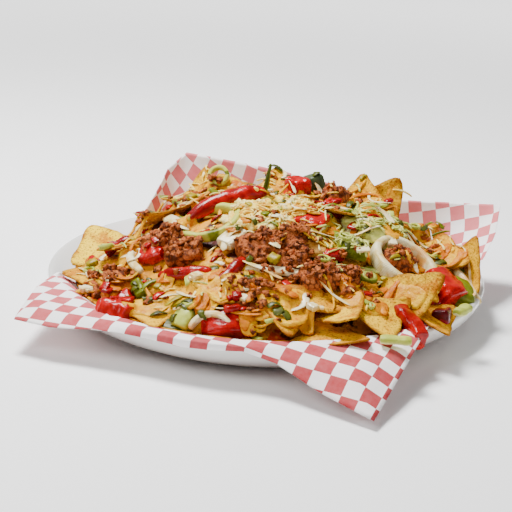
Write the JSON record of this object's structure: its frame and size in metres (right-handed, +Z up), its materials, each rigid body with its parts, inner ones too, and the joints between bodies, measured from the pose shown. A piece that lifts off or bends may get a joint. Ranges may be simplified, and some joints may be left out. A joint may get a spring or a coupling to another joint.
{
  "type": "plated nachos",
  "caption": "Round coupe plate with a checked paper liner and a heap of tortilla chips topped with meat, chillies, peppers, onion, tomato and cheese.",
  "frame": {"origin": "centre of the whole thing's box, on the surface that the plate stands on", "axes": "+Z up, +Y from the liner's front corner to its back edge, +X to the right as served"},
  "size_m": [0.3571, 0.3899, 0.1036],
  "materials": {
    "glaze": "gloss",
    "paper": "matte",
    "chips": "matte",
    "red_pepper": "gloss",
    "tomato": "gloss",
    "beet": "satin",
    "meat": "matte",
    "cheese": "satin",
    "cabbage": "satin",
    "onion": "satin",
    "green_onion": "satin",
    "mushroom": "satin",
    "stem": "matte",
    "green": "satin"
  },
  "bodies": {
    "root": {"plate": "glaze", "paper_liner": "paper", "chip_heap": "chips", "beet_piece_1": "beet", "cabbage_mass": "cabbage", "celery_piece_1": "green", "cheese_mass": "cheese", "chilli_stem": "stem", "cucumber_cube": "green", "green_leaf_1": "green", "green_onion_piece_1": "green_onion", "green_onion_piece_2": "green_onion", "green_onion_piece_3": "green_onion", "green_onion_slice": "green_onion", "green_pepper_1": "green", "green_pepper_2": "green", "green_pepper_3": "green", "green_pepper_4": "green", "green_ring_1": "green", "jalapeno_slice_1": "green", "jalapeno_slice_2": "green", "lettuce_piece_1": "green", "meat_piece_1": "meat", "meat_piece_10": "meat", "meat_piece_11": "meat", "meat_piece_2": "meat", "meat_piece_3": "meat", "meat_piece_4": "meat", "meat_piece_5": "meat", "meat_piece_6": "meat", "meat_piece_7": "meat", "meat_piece_8": "meat", "meat_piece_9": "meat", "mushroom_slice": "mushroom", "onion_piece_1": "onion", "onion_ring_1": "onion", "onion_strip_1": "onion", "onion_strip_2": "onion", "onion_strip_3": "onion", "onion_strip_4": "onion", "onion_strip_5": "onion", "onion_strip_6": "onion", "pepper_ring_1": "green", "red_chilli_1": "red_pepper", "red_chilli_2": "red_pepper", "red_chilli_3": "red_pepper", "red_pepper_1": "red_pepper", "red_pepper_2": "red_pepper", "red_pepper_3": "red_pepper", "red_pepper_4": "red_pepper", "red_pepper_5": "red_pepper", "red_pepper_6": "red_pepper", "red_wedge_1": "red_pepper", "tomato_piece_1": "tomato", "tomato_piece_2": "tomato", "tomato_piece_3": "tomato", "tomato_piece_4": "tomato", "tomato_piece_5": "tomato", "tomato_piece_6": "tomato", "tomato_piece_7": "tomato"}
  },
  "joints": []
}
